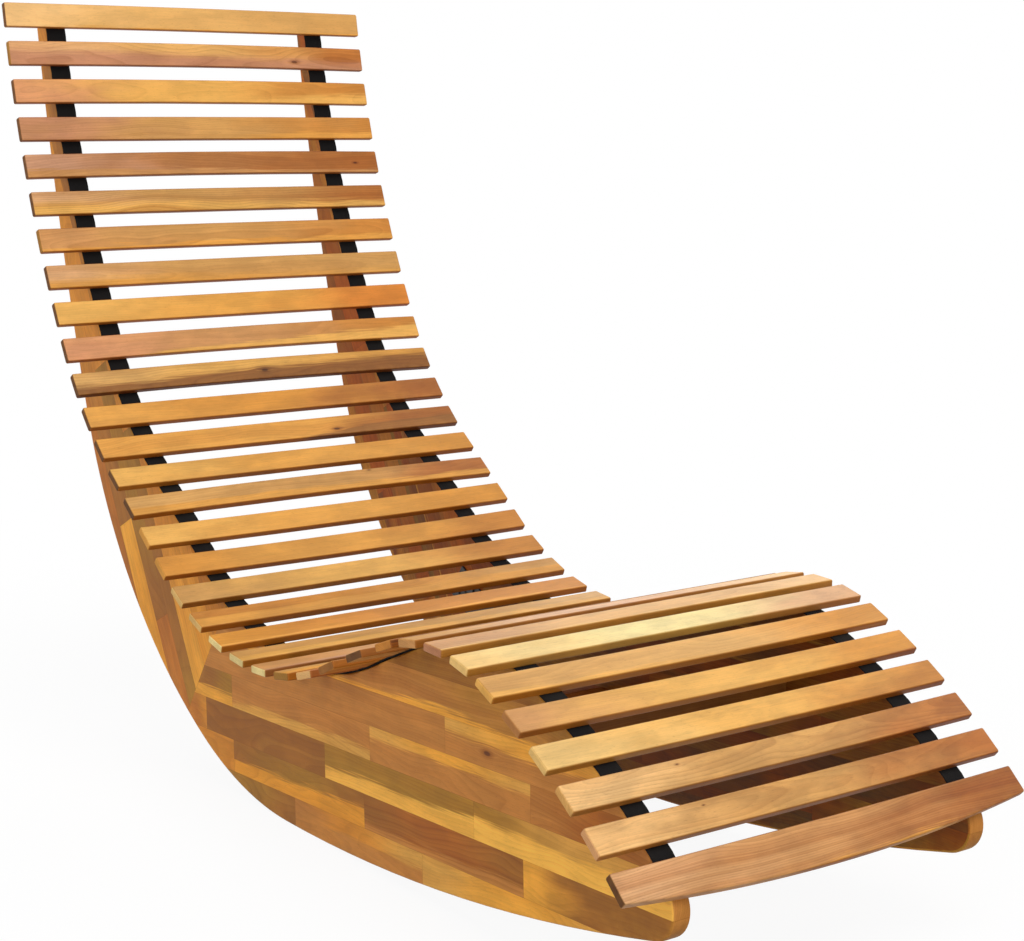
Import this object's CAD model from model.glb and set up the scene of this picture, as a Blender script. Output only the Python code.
"""Looks of the rocking chaise lounge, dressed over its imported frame.

Metres, in the frame's own axes: +X from the head end to the foot end, +Y to the left of a person
lying in the lounge, +Z up. Each sub-assembly is a class that builds its pieces from the frame's
nodes, and each finish is a frozen dataclass that makes one material.
"""

import logging
import math
import random
from collections import Counter
from collections.abc import Callable, Sequence
from dataclasses import dataclass, replace
from enum import Enum

import bmesh
import bpy
import numpy as np
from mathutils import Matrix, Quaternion, Vector, noise

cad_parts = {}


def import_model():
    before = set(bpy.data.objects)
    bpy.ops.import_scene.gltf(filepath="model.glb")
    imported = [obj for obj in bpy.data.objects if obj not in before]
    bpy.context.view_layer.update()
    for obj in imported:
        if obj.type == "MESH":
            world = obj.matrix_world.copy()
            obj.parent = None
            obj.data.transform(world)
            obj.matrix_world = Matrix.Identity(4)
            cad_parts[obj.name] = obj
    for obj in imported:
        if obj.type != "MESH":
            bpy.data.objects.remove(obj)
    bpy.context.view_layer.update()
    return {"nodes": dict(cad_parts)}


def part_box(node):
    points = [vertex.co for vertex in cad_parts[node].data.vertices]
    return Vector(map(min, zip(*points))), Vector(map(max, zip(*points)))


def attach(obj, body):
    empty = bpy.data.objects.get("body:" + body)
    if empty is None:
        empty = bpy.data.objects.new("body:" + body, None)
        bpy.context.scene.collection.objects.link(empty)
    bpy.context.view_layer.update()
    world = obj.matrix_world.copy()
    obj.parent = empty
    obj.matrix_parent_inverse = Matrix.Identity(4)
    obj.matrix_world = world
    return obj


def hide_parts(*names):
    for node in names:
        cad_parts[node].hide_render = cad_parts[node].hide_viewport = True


log = logging.getLogger("lounge")

MM = 0.001
FLAT = 0.01 * MM
SHARP_FROM = math.radians(40.0)
BODY = "root"
WHITE = (1.0, 1.0, 1.0)

Triple = tuple[float, float, float]


def as_light(colour: tuple[int, int, int]) -> Triple:
    """Turns a display colour into linear light.

    Args:
        colour: Display values from 0 to 255.

    Returns:
        Linear red, green and blue.
    """
    shares = [value / 255 for value in colour]
    return tuple(share / 12.92 if share <= 0.04045 else ((share + 0.055) / 1.055) ** 2.4 for share in shares)


class Tone(Enum):
    """Colours of the oiled acacia, as display values."""

    PEARL = (236, 190, 140)
    CREAM = (245, 224, 172)
    STRAW = (243, 202, 140)
    HONEY = (233, 178, 102)
    WHEAT = (224, 174, 114)
    GOLD = (225, 162, 82)
    AMBER = (214, 147, 66)
    OCHRE = (202, 135, 65)
    PEACH = (219, 168, 132)
    BLUSH = (220, 155, 122)
    TAN = (207, 156, 98)
    SAND = (203, 148, 101)
    DUSK = (203, 154, 134)
    ROSE = (187, 131, 108)
    COPPER = (181, 122, 76)
    FLAME = (214, 132, 57)
    RUSSET = (182, 113, 56)
    CHESTNUT = (166, 100, 48)
    BROWN = (150, 98, 50)
    OLIVE = (158, 114, 52)
    UMBER = (100, 62, 32)
    RUST = (196, 104, 36)

    @property
    def rgb(self) -> Triple:
        """The tone as linear red, green and blue."""
        return as_light(self.value)


@dataclass(frozen=True)
class Knot:
    """A knot in a board.

    Attributes:
        along: Place from the board's near end, 0, to its far end, 1.
        across: Place from the board's upper edge, 0, to its lower edge, 1.
        radius: Radius of the knot's dark core in metres.
    """

    along: float
    across: float
    radius: float = 2.5 * MM


@dataclass(frozen=True)
class Board:
    """How one board or slat looks.

    Attributes:
        near: Tone at the near end, which is the lounge's right or head side.
        middle: Tone halfway along.
        far: Tone at the far end.
        streak: Tone of the zone along the lower edge.
        split: Where that zone starts across the board, at the near and at the far end.
        blur: Softness of the zone's border, as a share of the board's width.
        end: Tone of the end grain.
        stripes: Strength of the growth stripes.
        figure: Strength of the cross-grain figure.
        knot: A knot, where the board has one.
        light: How light the whole board is.
    """

    near: Tone
    middle: Tone
    far: Tone
    streak: Tone = Tone.GOLD
    split: tuple[float, float] = (1.5, 1.5)
    blur: float = 0.07
    end: Tone = Tone.UMBER
    stripes: float = 0.5
    figure: float = 0.5
    knot: Knot | None = None
    light: float = 1.0


def drawn_board(draw: random.Random) -> Board:
    """A board chosen by lot, for the places that nothing else describes.

    Args:
        draw: The seeded source of the choices.

    Returns:
        The board's look.
    """
    tones = [Tone.OCHRE, Tone.AMBER, Tone.BROWN, Tone.OLIVE, Tone.CHESTNUT, Tone.RUSSET, Tone.GOLD]
    near, middle, streak = draw.choice(tones), draw.choice(tones), draw.choice(tones)
    split = (draw.uniform(0.4, 1.4), draw.uniform(0.4, 1.4))
    return Board(near, middle, draw.choice((near, middle)), streak, split,
                 stripes=draw.uniform(0.4, 0.9), figure=draw.uniform(0.3, 0.7))


class Kind(Enum):
    """Kinds of value in a shader's node tree, with the socket that carries each into a group."""

    VALUE = "NodeSocketFloat"
    VECTOR = "NodeSocketVector"
    RGBA = "NodeSocketColor"


class Signal:
    """A value in a node tree, on which plain arithmetic places nodes."""

    def __init__(self, graph: "Graph", socket: bpy.types.NodeSocket) -> None:
        """Takes up a node's output.

        Args:
            graph: The graph that it belongs to.
            socket: The output socket.
        """
        self.graph = graph
        self.socket = socket
        self.kind = Kind[socket.type]

    def __add__(self, other: "Source") -> "Signal":
        """The sum of both."""
        return self.graph.step("ADD", self, other)

    def __sub__(self, other: "Source") -> "Signal":
        """This value less the other."""
        return self.graph.step("SUBTRACT", self, other)

    def __mul__(self, other: "Source") -> "Signal":
        """The product of both, axis by axis on vectors."""
        return self.graph.step("MULTIPLY", self, other)

    def __truediv__(self, other: "Source") -> "Signal":
        """This value divided by the other, axis by axis on vectors."""
        return self.graph.step("DIVIDE", self, other)


Source = Signal | bpy.types.NodeSocket | float | tuple
Signals = dict[str, Signal]


class Graph:
    """A node tree with short calls that place nodes and wire them."""

    def __init__(self, tree: bpy.types.NodeTree) -> None:
        """Takes over a node tree.

        Args:
            tree: The tree of a material, a world or a node group.
        """
        self.tree = tree

    def node(self, kind: str, inputs: dict[str | int, Source] | None = None, **settings) -> bpy.types.Node:
        """Places one node.

        Args:
            kind: The node's type name.
            inputs: Sources for its input sockets, by name or by number.
            **settings: Properties set on the node before its inputs.

        Returns:
            The new node.
        """
        made = self.tree.nodes.new(kind)
        for key, value in settings.items():
            setattr(made, key, value)
        for key, value in (inputs or {}).items():
            self.feed(made.inputs[key], value)
        return made

    def feed(self, socket: bpy.types.NodeSocket, value: Source) -> None:
        """Links a socket to a source, or sets its value.

        Args:
            socket: The input socket.
            value: A signal, another node's output, or a plain value.
        """
        value = value.socket if isinstance(value, Signal) else value
        if isinstance(value, bpy.types.NodeSocket):
            self.tree.links.new(value, socket)
        else:
            socket.default_value = (*value, 1.0) if socket.type == "RGBA" else value

    def read(self, kind: str, output: str, **settings) -> Signal:
        """One output of a node that takes nothing in."""
        return Signal(self, self.node(kind, **settings).outputs[output])

    def attribute(self, name: str, output: str = "Vector") -> Signal:
        """An attribute of the mesh."""
        return self.read("ShaderNodeAttribute", output, attribute_name=name)

    def step(self, operation: str, *values: Source) -> Signal:
        """Places one arithmetic step, on vectors where any value is a vector.

        Args:
            operation: What the step does.
            *values: What it works on.

        Returns:
            Its result, which is a number where the step measures a length or multiplies to a number.
        """
        numbers = all(isinstance(value, float) or getattr(value, "kind", None) is Kind.VALUE
                      for value in values)
        made = self.node("ShaderNodeMath" if numbers else "ShaderNodeVectorMath",
                         dict(enumerate(values)), operation=operation)
        numbers = numbers or operation in ("LENGTH", "DOT_PRODUCT")
        return Signal(self, made.outputs["Value" if numbers else "Vector"])

    def split(self, vector: Source) -> tuple[Signal, Signal, Signal]:
        """The three numbers of a vector."""
        outputs = self.node("ShaderNodeSeparateXYZ", {0: vector}).outputs
        return Signal(self, outputs[0]), Signal(self, outputs[1]), Signal(self, outputs[2])

    def joined(self, *numbers: Source) -> Signal:
        """A vector made of three numbers."""
        return Signal(self, self.node("ShaderNodeCombineXYZ", dict(enumerate(numbers))).outputs[0])

    def noise(self, place: Signal, scale: Source, detail: float = 2.0, roughness: float = 0.5,
              output: str = "Fac") -> Signal:
        """Places a noise.

        Args:
            place: Where it is read.
            scale: Its scale, or one scale for each axis.
            detail: Its octaves.
            roughness: How strong the finer octaves are.
            output: The output that is read, a number or a colour.

        Returns:
            The noise, from 0 to 1.
        """
        if isinstance(scale, tuple):
            place, scale = place * scale, 1.0
        inputs = {"Vector": place, "Scale": scale, "Detail": detail, "Roughness": roughness}
        return Signal(self, self.node("ShaderNodeTexNoise", inputs).outputs[output])

    def rise(self, value: Source, low: Source, high: Source, start: float = 0.0,
             stop: float = 1.0) -> Signal:
        """Places a smooth step.

        Args:
            value: What it follows.
            low: The value at which it starts.
            high: The value at which it is done.
            start: What it puts out before.
            stop: What it puts out after.

        Returns:
            The step.
        """
        inputs = {"Value": value, "From Min": low, "From Max": high, "To Min": start, "To Max": stop}
        made = self.node("ShaderNodeMapRange", inputs, interpolation_type="SMOOTHSTEP")
        return Signal(self, made.outputs[0])

    def mix(self, share: Source, first: Source, second: Source, blend: str = "MIX") -> Signal:
        """Mixes two colours.

        Args:
            share: How much of the second colour shows.
            first: The first colour.
            second: The second colour.
            blend: How they blend.

        Returns:
            The mixed colour.
        """
        made = self.node("ShaderNodeMix", {0: share, 6: first, 7: second}, data_type="RGBA",
                         blend_type=blend)
        return Signal(self, made.outputs[2])

    def effect(self, effect: "Effect", **inputs: Source) -> Signals:
        """Places an effect's node group.

        Args:
            effect: The effect.
            **inputs: Sources by input name.

        Returns:
            The group's outputs by name.
        """
        made = self.node("ShaderNodeGroup", inputs, node_tree=effect.tree)
        return {socket.name: Signal(self, socket) for socket in made.outputs}


class Surface(Graph):
    """The graph of a material, round its Principled shader."""

    def __init__(self, name: str) -> None:
        """Makes an empty node material.

        Args:
            name: The material's name.
        """
        self.material = bpy.data.materials.new(name)
        self.material.use_nodes = True
        self.material.node_tree.nodes.clear()
        super().__init__(self.material.node_tree)
        self.shader = self.node("ShaderNodeBsdfPrincipled")
        self.output = self.node("ShaderNodeOutputMaterial", {"Surface": self.shader.outputs[0]})

    def relief(self, height: Signal, depth: float, strength: float = 1.0) -> Signal:
        """The normal of a surface with a fine relief of a depth in metres."""
        bump = self.node("ShaderNodeBump", {"Height": height, "Distance": depth, "Strength": strength})
        return Signal(self, bump.outputs[0])

    def finished(self, **values: Source) -> bpy.types.Material:
        """Sets the shader's inputs.

        Args:
            **values: Sources by input name, written with _ for each space.

        Returns:
            The material.
        """
        for name, value in values.items():
            self.feed(self.shader.inputs[name.replace("_", " ")], value)
        return self.material


class Effect:
    """A surface effect as a shader node group, made once and placed in many materials."""

    trees: dict[str, bpy.types.NodeTree] = {}

    def __init__(self, name: str, build: Callable[[Graph, Signals], Signals], **inputs: Kind) -> None:
        """Describes the effect.

        Args:
            name: The group's name.
            build: Wires the inside, from the inputs by name to the outputs by name.
            **inputs: Kinds by input name.
        """
        self.name = name
        self.build = build
        self.inputs = inputs

    @property
    def tree(self) -> bpy.types.NodeTree:
        """The node group.

        Returns:
            The group's tree, built on first use.
        """
        if self.name not in self.trees:
            tree = bpy.data.node_groups.new(self.name, "ShaderNodeTree")
            graph = Graph(tree)
            for label, kind in self.inputs.items():
                tree.interface.new_socket(label, in_out="INPUT", socket_type=kind.value)
            start = graph.node("NodeGroupInput")
            made = self.build(graph, {label: Signal(graph, start.outputs[label]) for label in self.inputs})
            for label, signal in made.items():
                tree.interface.new_socket(label, in_out="OUTPUT", socket_type=signal.kind.value)
            graph.node("NodeGroupOutput", made)
            self.trees[self.name] = tree
        return self.trees[self.name]


def wire_knot(graph: Graph, given: Signals) -> Signals:
    """Bends the grain round a knot, and masks the knot's core and its dark halo.

    Args:
        graph: The group's graph.
        given: The grain's place, and the knot's place along and across with its radius.

    Returns:
        The bent place and both masks.
    """
    smallest = 1e-5
    oval = (0.42, 1.0, 0.0)
    push = 1.6
    along, across, radius = graph.split(given["Knot"])
    away = given["Place"] - graph.joined(along, across, 0.0)
    reach = graph.step("LENGTH", away * oval) / graph.step("MAXIMUM", radius, smallest)
    present = graph.step("GREATER_THAN", radius, smallest)
    shove = graph.rise(reach, 5.0, 0.0) * present * radius * push
    side = graph.step("SIGN", graph.split(away)[1])
    return {"Place": given["Place"] - graph.joined(0.0, shove * side, 0.0),
            "Core": graph.rise(reach, 1.15, 0.55) * present, "Halo": graph.rise(reach, 2.6, 0.8) * present}


def wire_rings(graph: Graph, given: Signals) -> Signals:
    """Growth rings round a pith that runs along the board, as broad stripes and as fine lines.

    Args:
        graph: The group's graph.
        given: The grain's place, the cut from the log and the width of a ring.

    Returns:
        The stripes and the lines.
    """
    sway_reach = (0.0, 0.034, 0.05)
    bands_per_metre = 120.0
    shift, pith_across, pith_deep = graph.split(given["Cut"])
    place = given["Place"] + graph.joined(shift, shift, 0.0)
    sway = graph.noise(place, (3.1, 9.0, 9.0), output="Color") - (0.5, 0.5, 0.5)
    spread = given["Place"] - graph.joined(0.0, pith_across, pith_deep) + sway * sway_reach
    radius = graph.step("LENGTH", spread * (0.0, 1.0, 1.0))
    bands = graph.noise(graph.joined(radius * bands_per_metre, shift, 0.0), 1.0, 3.0, 0.6)
    phase = graph.step("FRACT", radius / given["Width"])
    return {"Stripe": graph.rise(bands, 0.34, 0.68),
            "Ring": graph.step("POWER", phase, 2.2) * graph.rise(phase, 1.0, 0.9)}


def wire_fibre(graph: Graph, given: Signals) -> Signals:
    """Fine fibre lines, short dark pores and the slow cross-grain figure of the wood.

    Args:
        graph: The group's graph.
        given: The grain's place and the cut from the log.

    Returns:
        The fibre, the pores and the figure.
    """
    shift = graph.split(given["Cut"])[0]
    place = given["Place"] + graph.joined(shift, shift, shift)
    return {"Fibre": graph.noise(place, (26.0, 900.0, 900.0), 3.0, 0.6),
            "Pore": graph.rise(graph.noise(place, (150.0, 1900.0, 1900.0), 1.0), 0.63, 0.74),
            "Figure": graph.noise(place, (15.0, 34.0, 34.0), 3.0, 0.55)}


def wire_tone(graph: Graph, given: Signals) -> Signals:
    """A board's colour from its three tones along the grain and the zone at its lower edge.

    Args:
        graph: The group's graph.
        given: The grain's place, the board's corners, cut and split, and its tones.

    Returns:
        The colour.
    """
    wander, waver, fringe = 0.55, 0.5, 0.45
    along, across, _ = graph.split((given["Place"] - given["Low"]) / (given["High"] - given["Low"]))
    shift = graph.split(given["Cut"])[0]
    place = given["Place"] + graph.joined(shift, 0.0, shift)
    along = along + (graph.noise(place, (7.0, 22.0, 22.0), 3.0) - 0.5) * wander
    across = across + (graph.noise(place, (5.0, 4.0, 4.0)) - 0.5) * waver
    across = across + (graph.noise(place, (14.0, 420.0, 420.0)) - 0.5) * fringe
    head = graph.mix(graph.rise(along, 0.0, 0.42), given["Near"], given["Middle"])
    whole = graph.mix(graph.rise(along, 0.5, 0.96), head, given["Far"])
    start, stop, blur = graph.split(given["Split"])
    border = along * (stop - start) + start
    return {"Color": graph.mix(graph.rise(across, border - blur, border + blur), whole, given["Streak"])}


def wire_border(graph: Graph, given: Signals) -> Signals:
    """Masks of a board's long edges and of its ends.

    Args:
        graph: The group's graph.
        given: The place, the board's corners and the border's width.

    Returns:
        Both masks.
    """
    inset = graph.step("MINIMUM", given["Place"] - given["Low"], given["High"] - given["Place"])
    along, across, _ = graph.split(inset)
    return {"Edge": graph.rise(across, given["Width"], 0.0), "End": graph.rise(along, given["Width"], 0.0)}


def wire_end_grain(graph: Graph, given: Signals) -> Signals:
    """A mask of the faces that cut across the grain."""
    facing = graph.step("DOT_PRODUCT", graph.read("ShaderNodeNewGeometry", "Normal"), given["Along"])
    return {"Mask": graph.rise(graph.step("ABSOLUTE", facing), 0.45, 0.9)}


def wire_wear(graph: Graph, given: Signals) -> Signals:
    """Patchy wear on the edges that a mesh marks."""
    spots = graph.noise(given["Place"], given["Scale"], 3.0, 0.6)
    return {"Mask": given["Edge"] * graph.rise(spots, 0.35, 0.65)}


def wire_weave(graph: Graph, given: Signals) -> Signals:
    """The ribs of a woven band: warp cords along it, with weft picks that cross over and under.

    Args:
        graph: The group's graph.
        given: The place on the band and the width of a cord.

    Returns:
        The weave's height and the yarn's fuzz.
    """
    along, across, _ = graph.split(given["Place"])
    cords = across / given["Cord"]
    picks = along / given["Cord"] + graph.step("FLOOR", cords) * 0.5
    warp = graph.step("SINE", graph.step("FRACT", cords) * math.pi)
    weft = graph.step("SINE", graph.step("FRACT", picks) * math.pi)
    fuzz = graph.noise(given["Place"], 2500.0, 3.0, 0.7)
    return {"Height": warp * (weft * 0.6 + 0.4) + fuzz * 0.3, "Fuzz": fuzz}


def wire_dust(graph: Graph, given: Signals) -> Signals:
    """A thin veil of dust in patches on faces that look up.

    Args:
        graph: The group's graph.
        given: The place and the amount of dust.

    Returns:
        The mask of the dust.
    """
    up = graph.split(graph.read("ShaderNodeNewGeometry", "Normal"))[2]
    patches = graph.rise(graph.noise(given["Place"], 11.0, 4.0, 0.65), 0.42, 0.7)
    return {"Mask": graph.rise(up, 0.2, 1.0) * patches * given["Amount"]}


KNOT = Effect("grain_round_a_knot", wire_knot, Place=Kind.VECTOR, Knot=Kind.VECTOR)
RINGS = Effect("growth_rings", wire_rings, Place=Kind.VECTOR, Cut=Kind.VECTOR, Width=Kind.VALUE)
FIBRE = Effect("wood_fibre", wire_fibre, Place=Kind.VECTOR, Cut=Kind.VECTOR)
TONE = Effect("board_tone", wire_tone, Place=Kind.VECTOR, Low=Kind.VECTOR, High=Kind.VECTOR, Cut=Kind.VECTOR,
              Split=Kind.VECTOR, Near=Kind.RGBA, Middle=Kind.RGBA, Far=Kind.RGBA, Streak=Kind.RGBA)
BORDER = Effect("board_border", wire_border, Place=Kind.VECTOR, Low=Kind.VECTOR, High=Kind.VECTOR,
                Width=Kind.VALUE)
END_GRAIN = Effect("end_grain", wire_end_grain, Along=Kind.VECTOR)
WEAR = Effect("edge_wear", wire_wear, Place=Kind.VECTOR, Edge=Kind.VALUE, Scale=Kind.VALUE)
WEAVE = Effect("band_weave", wire_weave, Place=Kind.VECTOR, Cord=Kind.VALUE)
DUST = Effect("dust_veil", wire_dust, Place=Kind.VECTOR, Amount=Kind.VALUE)


@dataclass(frozen=True)
class Stain:
    """A darker mark in the wood.

    Attributes:
        strength: How much of it shows where its mask is full.
        colour: What it leaves of red, green and blue.
    """

    strength: float
    colour: Triple


STRIPE_STAIN = Stain(0.68, (0.62, 0.44, 0.28))
RING_STAIN = Stain(0.48, (0.50, 0.36, 0.24))
PORE_STAIN = Stain(0.35, (0.36, 0.22, 0.13))
HALO_STAIN = Stain(0.55, (0.45, 0.27, 0.15))
CORE_STAIN = Stain(0.75, (0.16, 0.08, 0.04))
BORDER_SHADE = (0.52, 0.35, 0.15)
DUST_COLOUR = (0.30, 0.26, 0.20)


@dataclass(frozen=True)
class OiledWood:
    """Oiled acacia, coloured board by board from the mesh's own attributes.

    Attributes:
        name: The material's name.
        glued: Whether boards are glued edge to edge, so that a dark hairline parts them.
        ring_width: Width of one growth ring in metres.
        border: Width of the darker border along a board's edges in metres.
        roughness: Roughness between the pores.
        oil: Weight of the oil film over the wood.
        relief: Depth of the grain's relief in metres.
        tint: What the oil leaves of red, green and blue.
        brim: How dark the border is at a board's ends, where it isn't glued.
        joint: How dark the hairline between glued boards is.
        clouds: How much the figure lightens and darkens the wood.
        fibres: How much the fibre does.
        wear: How much of the worn edges shows.
    """

    name: str
    glued: bool = False
    ring_width: float = 2.6 * MM
    border: float = 1.9 * MM
    roughness: float = 0.5
    oil: float = 0.03
    relief: float = 0.12 * MM
    tint: Triple = (1.0, 0.985, 0.775)
    brim: float = 0.6
    joint: float = 0.55
    clouds: float = 0.34
    fibres: float = 0.30
    wear: float = 0.12

    def material(self) -> bpy.types.Material:
        """Builds the material.

        Returns:
            The wood, which reads its boards from the attributes that dress_boards stores.
        """
        surface = Surface(self.name)
        place, low, high, cut, split = (
            surface.attribute(name) for name in ("grain", "low", "high", "cut", "split"))
        stripes, figure, light = surface.split(surface.attribute("vigour"))
        tones = {label: surface.attribute(label.lower()) for label in ("Near", "Middle", "Far", "Streak")}
        knot = surface.effect(KNOT, Place=place, Knot=surface.attribute("knot"))
        flow = knot["Place"]
        rings = surface.effect(RINGS, Place=flow, Cut=cut, Width=self.ring_width)
        fibre = surface.effect(FIBRE, Place=flow, Cut=cut)
        tone = surface.effect(TONE, Place=flow, Low=low, High=high, Cut=cut, Split=split, **tones)
        end = surface.effect(END_GRAIN, Along=surface.attribute("along"))["Mask"]
        border = surface.effect(BORDER, Place=place, Low=low, High=high, Width=self.border)
        worn = surface.effect(WEAR, Place=place, Edge=surface.attribute("edge", "Fac"), Scale=60.0)["Mask"]
        if self.glued:
            dark = surface.step("MAXIMUM", border["Edge"], border["End"]) * self.joint
        else:
            brim = border["End"] * (end * -self.brim + self.brim)
            dark = surface.step("MINIMUM", brim + border["Edge"], 1.0)
        base = surface.mix(end, tone["Color"], surface.attribute("end"))
        for mask, stain in ((rings["Stripe"] * stripes, STRIPE_STAIN), (rings["Ring"] * stripes, RING_STAIN),
                            (fibre["Pore"], PORE_STAIN), (knot["Halo"], HALO_STAIN),
                            (knot["Core"], CORE_STAIN)):
            base = surface.mix(mask * stain.strength, base, stain.colour, "MULTIPLY")
        cloud = (surface.rise(fibre["Figure"], 0.36, 0.66) - 0.5) * figure
        gain = cloud * self.clouds + light + (fibre["Fibre"] - 0.5) * self.fibres
        base = surface.mix(1.0, base, surface.joined(gain, gain, gain), "MULTIPLY")
        base = surface.mix(worn * self.wear, base, Tone.HONEY.rgb)
        base = surface.mix(dark, base, BORDER_SHADE, "MULTIPLY")
        height = fibre["Fibre"] + rings["Ring"] * -0.25 + fibre["Pore"] * -0.8
        height = height + dark * -1.2 if self.glued else height
        return surface.finished(
            Base_Color=surface.mix(1.0, base, self.tint, "MULTIPLY"),
            Roughness=end * 0.2 + fibre["Fibre"] * 0.16 + (self.roughness - 0.08),
            Normal=surface.relief(height, self.relief, 0.7),
            Specular_IOR_Level=0.22, Coat_Weight=self.oil, Coat_Roughness=0.3)


@dataclass(frozen=True)
class Webbing:
    """Black woven webbing, read from the band's own coordinates.

    Attributes:
        name: The material's name.
        colour: Display colour of the yarn.
        cord: Width of one warp cord in metres.
        gloss: How much lighter the tops of the cords are.
        dust: How much dust lies on it.
    """

    name: str = "black_webbing"
    colour: tuple[int, int, int] = (13, 11, 11)
    cord: float = 1.6 * MM
    gloss: float = 1.7
    dust: float = 0.03

    def material(self) -> bpy.types.Material:
        """Builds the material.

        Returns:
            The finished material.
        """
        surface = Surface(self.name)
        place = surface.attribute("band")
        weave = surface.effect(WEAVE, Place=place, Cord=self.cord)
        dust = surface.effect(DUST, Place=place, Amount=self.dust)["Mask"]
        yarn = as_light(self.colour)
        pale = tuple(self.gloss * value for value in yarn)
        base = surface.mix(surface.rise(weave["Height"], 0.35, 1.2), yarn, pale)
        return surface.finished(Base_Color=surface.mix(dust, base, DUST_COLOUR),
                                Roughness=weave["Fuzz"] * 0.2 + 0.7,
                                Normal=surface.relief(weave["Height"], 0.3 * MM, 0.8),
                                Specular_IOR_Level=0.12)


@dataclass(frozen=True)
class PaintedSteel:
    """Steel under thin black paint, with an uneven film and worn edges, or bare bright wire.

    Attributes:
        name: The material's name.
        colour: Display colour of the surface.
        bare: Metallic share, 0 under paint and 1 on bare metal.
        roughness: Roughness between the streaks.
        streaks: How much finer the streaks are along each axis.
        dust: How much dust lies on it.
        shade: How light the duller clouds in the film are.
    """

    name: str
    colour: tuple[int, int, int] = (44, 43, 42)
    bare: float = 0.0
    roughness: float = 0.5
    streaks: Triple = (400.0, 400.0, 60.0)
    dust: float = 0.15
    shade: float = 0.6

    def material(self) -> bpy.types.Material:
        """Builds the material.

        Returns:
            The finished material.
        """
        surface = Surface(self.name)
        place = surface.read("ShaderNodeTexCoord", "Object")
        film = surface.noise(place, self.streaks, 3.0, 0.6)
        clouds = surface.rise(surface.noise(place, 140.0, 4.0, 0.6), 0.35, 0.7)
        dust = surface.effect(DUST, Place=place, Amount=self.dust)["Mask"]
        coat = as_light(self.colour)
        base = surface.mix(clouds * 0.6, coat, tuple(self.shade * value for value in coat))
        return surface.finished(Base_Color=surface.mix(dust, base, DUST_COLOUR),
                                Roughness=dust * 0.4 + film * 0.22 + (self.roughness - 0.1),
                                Metallic=self.bare, Normal=surface.relief(film, 0.06 * MM, 0.5))


@dataclass(frozen=True)
class RawDowel:
    """Beech dowel rod, glued in, with its grain along each rod.

    Attributes:
        name: The material's name.
        dark: Triple between the fibres.
        pale: Triple of the fibres.
    """

    name: str = "beech_dowel"
    dark: Triple = (0.36, 0.21, 0.10)
    pale: Triple = (0.50, 0.32, 0.17)

    def material(self) -> bpy.types.Material:
        """Builds the material.

        Returns:
            The finished material.
        """
        surface = Surface(self.name)
        place = surface.read("ShaderNodeTexCoord", "Object")
        fibre = surface.effect(FIBRE, Place=place, Cut=(0.0, 0.0, 0.0))["Fibre"]
        return surface.finished(Base_Color=surface.mix(fibre, self.dark, self.pale),
                                Roughness=fibre * 0.2 + 0.6, Normal=surface.relief(fibre, 0.1 * MM))


def set_vectors(mesh: bpy.types.Mesh, name: str, domain: str, values: list[Sequence[float]]) -> None:
    """Stores one vector for each face or each vertex of a mesh.

    Args:
        mesh: The mesh.
        name: The attribute's name.
        domain: FACE or POINT.
        values: The vectors.
    """
    data = mesh.attributes.new(name, "FLOAT_VECTOR", domain).data
    data.foreach_set("vector", np.array([tuple(value) for value in values], np.float32).ravel())


@dataclass(frozen=True)
class Timber:
    """A board in place: its look, its extent in grain coordinates, and how it was cut from the log.

    Attributes:
        look: The board's tones and figure.
        low: Lowest corner, along the grain, across the board and through it, in metres.
        high: Highest corner.
        cut: A shift of the patterns, and where the pith lies across and under the board.
    """

    look: Board
    low: Triple
    high: Triple
    cut: Triple

    def attributes(self) -> dict[str, Triple]:
        """Lists what the wood's material reads.

        Returns:
            One vector for each attribute's name.
        """
        look = self.look
        knot = (0.0, 0.0, 0.0)
        if look.knot:
            along, across = (low + share * (high - low) for low, high, share
                             in zip(self.low, self.high, (look.knot.along, look.knot.across)))
            knot = (along, across, look.knot.radius)
        tones = {name: getattr(look, name).rgb for name in ("near", "middle", "far", "streak", "end")}
        vigour = (look.stripes, look.figure, look.light)
        return {**tones, "split": (*look.split, look.blur), "vigour": vigour, "low": self.low,
                "high": self.high, "cut": self.cut, "knot": knot}


def drawn_cut(draw: random.Random, across: float, shallow: float, deep: float) -> Triple:
    """A cut from the log, chosen by lot.

    Args:
        draw: The seeded source of the choices.
        across: How far the pith may lie to either side, in metres.
        shallow: The least depth of the pith under the board.
        deep: Its greatest depth.

    Returns:
        The cut, as a timber holds it.
    """
    return draw.uniform(1, 40), draw.uniform(-across, across), draw.uniform(shallow, deep)


def dress_boards(piece: bpy.types.Object, boards: list[Timber], grain: list[Vector],
                 along: Vector, material: bpy.types.Material) -> None:
    """Gives a piece its wood.

    Args:
        piece: The piece whose mesh is dressed.
        boards: One board for each face.
        grain: Grain coordinates of each vertex.
        along: Direction of the grain.
        material: The wood's material.
    """
    mesh = piece.data
    rows = {id(board): board.attributes() for board in boards}
    for name in next(iter(rows.values())):
        set_vectors(mesh, name, "FACE", [rows[id(board)][name] for board in boards])
    set_vectors(mesh, "along", "FACE", [along] * len(boards))
    set_vectors(mesh, "grain", "POINT", grain)
    mesh.attributes.new("edge", "FLOAT", "POINT").data.foreach_set("value", edge_turns(mesh))
    mesh.materials.append(material)


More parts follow.
